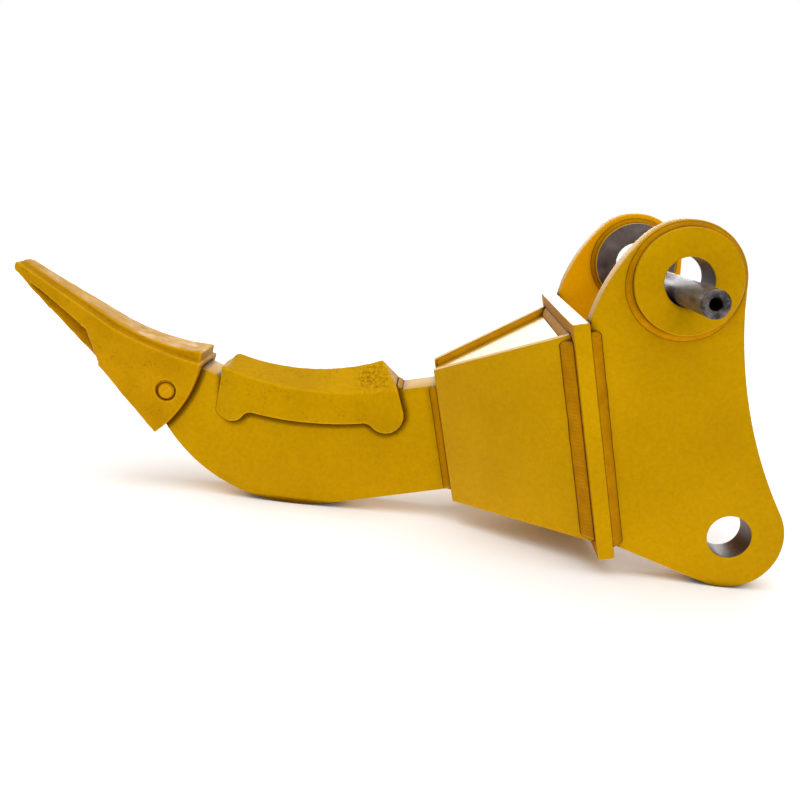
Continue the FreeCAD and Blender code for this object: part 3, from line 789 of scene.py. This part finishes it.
shankGuard = {
    "voxel": 0.0017, "cornerSteps": 5,
    "frontFade": (-858, -800), "fadeTo": 45.6,
    "waveDepth": 0.5, "waveSize": 30, "grainDepth": 0.1, "grainSize": 5,
    "lumps": [{"centre": (-552, -38, -112), "reach": 52, "depth": 3.4, "size": 8}],
}


def makeGuard():
    shape = castFrom("shank_guard", shankGuard["voxel"])
    soften(shape, shankGuard["cornerSteps"])
    low, high = shankGuard["frontFade"]
    for vert in shape.verts:
        # The cheeks thin out towards the tooth, where the paint runs over their edge.
        place = drawn(vert.co)
        proud = abs(place.y) - shankGuard["fadeTo"]
        if place.x < high and proud > 0:
            share = max(0.0, (place.x - low) / (high - low))
            share = share * share * (3 - 2 * share)
            place.y = math.copysign(shankGuard["fadeTo"] + proud * share, place.y)
            vert.co = fromDrawing @ place
    roughen(shape, "shank_guard", shankGuard)
    addPiece("shankGuard", shape, ("guard",), ("shank_guard",))


makeTooth()
makeGuard()
print("tooth and guard cast")


def sweepBead(shape, stations, bead, closed=False):
    # Each station gives the root, the two legs, the travel so far and the size. A bead is a fillet with a
    # low crown, crossed by the ripples of its pool, and its two toes lie just inside the plates.
    count = bead["points"]
    rows = []
    for root, legA, legB, travel, size in stations:
        towardA = legA.normalized()
        towardB = legB.normalized()
        outward = (towardA + towardB).normalized()
        wobble = 1 + bead["wobble"] * noise.noise(Vector((travel / bead["wobbleSize"], bead["seed"], 0)))
        row = []
        for step in range(count + 1):
            share = step / count
            belly = math.sin(math.pi * share)
            chord = root + (legA * (1 - share) + legB * share) * size * wobble
            phase = travel / bead["pitch"] + bead["rippleArch"] * (2 * share - 1) ** 2
            ripple = bead["ripple"] * math.sin(2 * math.pi * phase) * belly
            drift = bead["drift"] * noise.noise(Vector((travel / bead["driftSize"], share * 2, bead["seed"])))
            point = chord + outward * (bead["crown"] * size * belly + ripple + drift * belly)
            point -= towardB * (bead["toeDepth"] * (1 - share)) + towardA * (bead["toeDepth"] * share)
            row.append(shape.verts.new(fromDrawing @ point))
        row.append(shape.verts.new(fromDrawing @ (root - outward * bead["rootDepth"])))
        rows.append(row)
    pairs = list(zip(rows, rows[1:]))
    if closed:
        pairs.append((rows[-1], rows[0]))
    for first, second in pairs:
        for i in range(len(first)):
            j = (i + 1) % len(first)
            shape.faces.new((first[i], first[j], second[j], second[i])).smooth = True
    if not closed:
        shape.faces.new(rows[0])
        shape.faces.new(list(reversed(rows[-1])))


def straightStations(start, end, legA, legB, bead):
    run = end - start
    length = run.length
    steps = max(bead["fewestSteps"], int(length / bead["step"]))
    stations = []
    for i in range(steps + 1):
        travel = length * i / steps
        near = min(travel, length - travel)
        size = min(1, bead["endSize"] + (1 - bead["endSize"]) * math.sqrt(min(1, near / bead["endRun"])))
        stations.append((start + run * (i / steps), legA, legB, travel, size))
    return stations


weldBead = {
    "points": 8, "pitch": 5.5, "ripple": 0.17, "drift": 0.4, "crown": 1.1, "wobble": 0.035,
    "step": 1.4, "fewestSteps": 8, "endSize": 0.55, "endRun": 7, "seed": 1.0,
    "wobbleSize": 31, "driftSize": 9, "rippleArch": 0.9, "toeDepth": 0.25, "rootDepth": 0.6,
}
boxWelds = {
    "shankLeg": 15, "shankTopGap": 33, "shankLowGap": 20,
    "flangeLeg": 24, "flangeEndGap": 9, "flangeCrown": 1.6, "flangePitch": 6.5,
    "earRun": 19, "earLeg": 14, "earTop": -60, "earLow": -438, "earCrown": 1.3,
    "topLeg": 12, "lowLeg": 4, "coverCrown": 1 / 12,
}


def boxLine(values, x):
    share = (x - ripper["boxFront"]) / (ripper["flangeFront"] - ripper["boxFront"])
    return values[0] + (values[1] - values[0]) * share


def coverTop(x):
    return boxLine(ripper["sideTop"], x) - ripper["topRecess"]


def coverLow(x):
    return boxLine(ripper["sideLow"], x) + ripper["lowRecess"]


def straightWeld(name, nodeName, runs, bead):
    shape = bmesh.new()
    for start, end, legA, legB in runs:
        stations = straightStations(Vector(start), Vector(end), Vector(legA), Vector(legB), bead)
        sweepBead(shape, stations, bead)
    bmesh.ops.recalc_face_normals(shape, faces=shape.faces)
    addPiece(name, shape, ("weld",), (nodeName,))


def makeBoxWelds():
    slope = math.atan2(ripper["sideRear"] - ripper["sideFront"], ripper["flangeFront"] - ripper["boxFront"])
    thickAcross = ripper["sideThick"] / math.cos(slope)
    inner = [ripper["sideFront"] - thickAcross, ripper["sideRear"] - thickAcross]
    front = ripper["boxFront"]
    rear = ripper["flangeFront"]
    shankHalf = ripper["shankHalf"]
    sideRear = ripper["sideRear"]
    cornerX = front + (shankHalf - inner[0]) / (inner[1] - inner[0]) * (rear - front)
    for side in (1, -1):
        tail = sideName(side)
        seed = 2.0 + side
        leg = boxWelds["shankLeg"]
        top = ripper["sideTop"][0] - boxWelds["shankTopGap"]
        low = ripper["sideLow"][0] + boxWelds["shankLowGap"]
        straightWeld("shankWeld" + tail.title(), "weld_shank_" + tail, [
            ((front, side * shankHalf, top), (front, side * shankHalf, low),
             (-leg, 0, 0), (0, side * leg, 0))],
            dict(weldBead, seed=seed))
        leg = boxWelds["flangeLeg"]
        along = (-math.cos(slope) * leg, -side * math.sin(slope) * leg, 0)
        top = ripper["sideTop"][1] - boxWelds["flangeEndGap"]
        low = ripper["sideLow"][1] + boxWelds["flangeEndGap"]
        bead = dict(weldBead, seed=seed + 5, crown=boxWelds["flangeCrown"], pitch=boxWelds["flangePitch"])
        straightWeld("flangeWeld" + tail.title(), "weld_flange_" + tail, [
            ((rear, side * sideRear, top), (rear, side * sideRear, low), along, (0, side * leg, 0))], bead)
        for kind, y, way in (("outer", ripper["earOuter"], 1), ("inner", ripper["earInner"], -1)):
            straightWeld("earWeld" + kind.title() + tail.title(), "weld_ear_" + kind + "_" + tail, [
                ((ripper["flangeBack"], side * y, boxWelds["earTop"]),
                 (ripper["flangeBack"], side * y, boxWelds["earLow"]),
                 (boxWelds["earRun"], 0, 0), (0, side * way * boxWelds["earLeg"], 0))],
                dict(weldBead, seed=seed + 9 + way, crown=boxWelds["earCrown"]))
    for name, nodeName, lineAt, upright, leg in (
            ("topCoverWeld", "weld_top_cover", coverTop, 1, boxWelds["topLeg"]),
            ("bottomCoverWeld", "weld_bottom_cover", coverLow, -1, boxWelds["lowLeg"])):
        runs = []
        for side in (1, -1):
            across = (math.sin(slope) * leg, -side * math.cos(slope) * leg, 0)
            runs.append((
                (cornerX, side * shankHalf, lineAt(cornerX)), (rear, side * inner[1], lineAt(rear)),
                across, (0, 0, upright * leg)))
        sloped = Vector((cornerX - rear, 0, lineAt(cornerX) - lineAt(rear))).normalized() * leg
        runs.append((
            (rear, -inner[1], lineAt(rear)), (rear, inner[1], lineAt(rear)), sloped, (0, 0, upright * leg)))
        straightWeld(name, nodeName, runs, dict(weldBead, seed=leg, crown=leg * boxWelds["coverCrown"]))


bossWelds = {
    "outer": {"radius": 87, "leg": 8.5, "wider": 4.0, "widerAtDegrees": 235},
    "inner": {"radius": 80, "leg": 8.5, "wider": 0, "widerAtDegrees": 0},
    "link": {"radius": 72, "leg": 8.5, "wider": 0, "widerAtDegrees": 0},
    "steps": 330, "pitch": 5.2, "widerSpread": 1.6,
}
ringBead = dict(weldBead, crown=0.7, ripple=0.2, drift=0.35, wobble=0.05)


def ringWeld(name, nodeName, ring, centreX, centreZ, y, way):
    length = 2 * math.pi * ring["radius"]
    bead = dict(ringBead, seed=ring["radius"] + way, pitch=length / round(length / bossWelds["pitch"]))
    steps = bossWelds["steps"]
    stations = []
    for i in range(steps):
        angle = 2 * math.pi * i / steps
        ray = Vector((math.cos(angle), 0, math.sin(angle)))
        lean = max(0.0, math.cos(angle - math.radians(ring["widerAtDegrees"])))
        reach = ring["leg"] + ring["wider"] * min(1, bossWelds["widerSpread"] * lean)
        root = Vector((centreX, y, centreZ)) + ray * ring["radius"]
        travel = ring["radius"] * angle
        stations.append((root, ray * reach, Vector((0, way * ring["leg"], 0)), travel, 1.0))
    shape = bmesh.new()
    sweepBead(shape, stations, bead, True)
    bmesh.ops.recalc_face_normals(shape, faces=shape.faces)
    addPiece(name, shape, ("weld",), (nodeName,))


def makeBossWelds():
    for side in (1, -1):
        tail = sideName(side)
        ringWeld("armBossWeldOuter" + tail.title(), "weld_arm_boss_outer_" + tail, bossWelds["outer"],
                 0, 0, side * ripper["earOuter"], side)
        ringWeld("armBossWeldInner" + tail.title(), "weld_arm_boss_inner_" + tail, bossWelds["inner"],
                 0, 0, side * ripper["earInner"], -side)
        ringWeld("linkBossWeldInner" + tail.title(), "weld_link_boss_inner_" + tail, bossWelds["link"],
                 ripper["linkX"], ripper["linkZ"], side * ripper["earInner"], -side)


guardWeld = {"x": -504, "z": -151, "half": 44, "leg": 8.5}
guardBead = dict(weldBead, seed=40, crown=1.0, ripple=0.3, drift=0.7)


def makeGuardWeld():
    # Lies behind the guard, on the shank's top.
    x, z, half, leg = guardWeld["x"], guardWeld["z"], guardWeld["half"], guardWeld["leg"]
    straightWeld("guardWeldRear", "weld_guard_rear", [
        ((x, -half, z), (x, half, z), (leg, 0, 0), (0, 0, leg))], guardBead)


makeBoxWelds()
makeBossWelds()
makeGuardWeld()
print("weld beads laid")


turning = {"dentSize": 30, "dentsAround": 2, "creaseDegrees": 35}


def turnedPiece(name, profile, segments, centre, material, nodeName, body, dents=0.0):
    # A profile of (y, radius) points, closed on itself, turned round an axis along Y.
    shape = bmesh.new()
    rings = []
    for y, radius in profile:
        ring = []
        for i in range(segments):
            angle = 2 * math.pi * i / segments
            ray = Vector((math.cos(angle), 0, math.sin(angle)))
            around = ray * turning["dentsAround"]
            dent = dents * noise.noise(Vector((around.x, y / turning["dentSize"], around.z)))
            place = Vector((centre[0], y, centre[1])) + ray * (radius - abs(dent))
            ring.append(shape.verts.new(fromDrawing @ place))
        rings.append(ring)
    for first, second in zip(rings, rings[1:] + rings[:1]):
        for i in range(segments):
            j = (i + 1) % segments
            shape.faces.new((first[i], first[j], second[j], second[i])).smooth = True
    bmesh.ops.recalc_face_normals(shape, faces=shape.faces)
    for edge in shape.edges:
        edge.smooth = edge.calc_face_angle(0) < math.radians(turning["creaseDegrees"])
    addPiece(name, shape, (material,), (nodeName,), body)


handlingBar = {
    "radius": 22, "bore": 10, "half": 398, "chamfer": 1.5, "boreChamfer": 1.2,
    "dents": 0.25, "rings": 60, "segments": 72,
}


def makeHandlingBar():
    # The bar lies in the bottom of both bores.
    low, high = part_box("handling_bar")
    middle = drawn(Vector(((low[0] + high[0]) / 2, 0, (low[2] + high[2]) / 2)))
    half, radius, bore = handlingBar["half"], handlingBar["radius"], handlingBar["bore"]
    chamfer, boreChamfer = handlingBar["chamfer"], handlingBar["boreChamfer"]
    profile = [(-half, bore + boreChamfer), (-half, radius - chamfer), (-half + chamfer, radius)]
    steps = handlingBar["rings"]
    for i in range(1, steps):
        profile.append((-half + chamfer + (2 * half - 2 * chamfer) * i / steps, radius))
    profile += [(half - chamfer, radius), (half, radius - chamfer), (half, bore + boreChamfer)]
    profile += [(half - boreChamfer, bore), (-half + boreChamfer, bore)]
    turnedPiece("handlingBar", profile, handlingBar["segments"], (middle.x, middle.z), "bar", "handling_bar",
                "bar", handlingBar["dents"])


toothPin = {
    "radius": 16, "half": 56, "chamfer": 3, "segments": 64,
    "dishRadius": 6, "dishDepth": 0.3, "dimpleRadius": 0.05, "dimpleDepth": 0.6,
    "bandHalf": 9, "bandRoot": 13, "bandGap": 0.2, "bandCorner": 1, "bandBelow": 0.1,
}


def mirrored(profile):
    return [(-y, radius) for y, radius in reversed(profile)]


def makeToothPin():
    half, radius, chamfer = toothPin["half"], toothPin["radius"], toothPin["chamfer"]
    centre = (ripper["pinX"], ripper["pinZ"])
    end = [
        (half - chamfer, radius), (half, radius - chamfer),
        (half - toothPin["dishDepth"], toothPin["dishRadius"]),
        (half - toothPin["dimpleDepth"], toothPin["dimpleRadius"])]
    band, root = toothPin["bandHalf"], toothPin["bandRoot"]
    profile = mirrored(end) + [(-band, radius), (-band, root), (band, root), (band, radius)] + end
    turnedPiece("toothPin", profile, toothPin["segments"], centre, "tooth", "tooth_pin", "pin")
    edge = band - toothPin["bandGap"]
    shoulder = band - (toothPin["bandGap"] + toothPin["bandCorner"])
    end = [(shoulder, radius - toothPin["bandBelow"]), (edge, radius - toothPin["bandCorner"]), (edge, root)]
    profile = mirrored(end) + end
    turnedPiece("pinLockBand", profile, toothPin["segments"], centre, "rubber", "pin_lock_band",
                "pin")


makeHandlingBar()
makeToothPin()
print("bar and pin turned")


studio = {
    "floorRadius": 40, "floorSegments": 96, "floorTone": linear(246, 246, 246),
    "floorRoughness": 0.9, "floorSpecular": 0.1,
    "worldLight": 0.42,
    "overhead": {"strength": 2.35, "spreadDegrees": 70, "turn": (14, 0, 0)},
    "lights": (
        {"name": "backSoftbox", "place": (0.2, 6.0, 1.95), "turn": (-90, 0, 0),
         "size": (8.0, 1.3), "power": 260},
        {"name": "lowSoftbox", "place": (-0.35, -1.25, 0.12), "turn": (98, 0, -3),
         "size": (2.0, 0.15), "power": 2.2},
        {"name": "frontSoftbox", "place": (0.5, -2.8, 1.5), "turn": (67, 0, 4),
         "size": (1.3, 1.3), "power": 12},
    ),
}


def makeFloor():
    shape = bmesh.new()
    bmesh.ops.create_circle(
        shape, cap_ends=True, radius=studio["floorRadius"], segments=studio["floorSegments"])
    mesh = bpy.data.meshes.new("studioFloor")
    shape.to_mesh(mesh)
    shape.free()
    floor = bpy.data.objects.new("studioFloor", mesh)
    bpy.context.scene.collection.objects.link(floor)
    material, tree, shader = startMaterial("floorPaper")
    shader.inputs["Base Color"].default_value = studio["floorTone"]
    shader.inputs["Roughness"].default_value = studio["floorRoughness"]
    shader.inputs["Specular IOR Level"].default_value = studio["floorSpecular"]
    mesh.materials.append(material)


def makeStudio():
    overhead = studio["overhead"]
    sun = bpy.data.lights.new("overhead", "SUN")
    sun.energy = overhead["strength"]
    sun.angle = math.radians(overhead["spreadDegrees"])
    lamp = bpy.data.objects.new("overhead", sun)
    lamp.rotation_euler = [math.radians(angle) for angle in overhead["turn"]]
    bpy.context.scene.collection.objects.link(lamp)
    for light in studio["lights"]:
        data = bpy.data.lights.new(light["name"], "AREA")
        data.shape = "RECTANGLE"
        data.size, data.size_y = light["size"]
        data.energy = light["power"]
        lamp = bpy.data.objects.new(light["name"], data)
        lamp.location = light["place"]
        lamp.rotation_euler = [math.radians(angle) for angle in light["turn"]]
        lamp.visible_camera = False
        bpy.context.scene.collection.objects.link(lamp)
    world = bpy.data.worlds.new("studioWorld")
    world.use_nodes = True
    tree = world.node_tree
    background = tree.nodes["Background"]
    background.inputs["Color"].default_value = (1, 1, 1, 1)
    background.inputs["Strength"].default_value = studio["worldLight"]
    seen = addNode(tree, "ShaderNodeBackground", {"Color": (1, 1, 1, 1), "Strength": 1.0})
    ray = addNode(tree, "ShaderNodeLightPath").outputs["Is Camera Ray"]
    mixed = addNode(tree, "ShaderNodeMixShader", {0: ray, 1: background.outputs[0], 2: seen.outputs[0]})
    tree.links.new(mixed.outputs[0], tree.nodes["World Output"].inputs["Surface"])
    bpy.context.scene.world = world
    bpy.context.scene.view_settings.view_transform = "Standard"


makeFloor()
makeStudio()
print("studio lit")
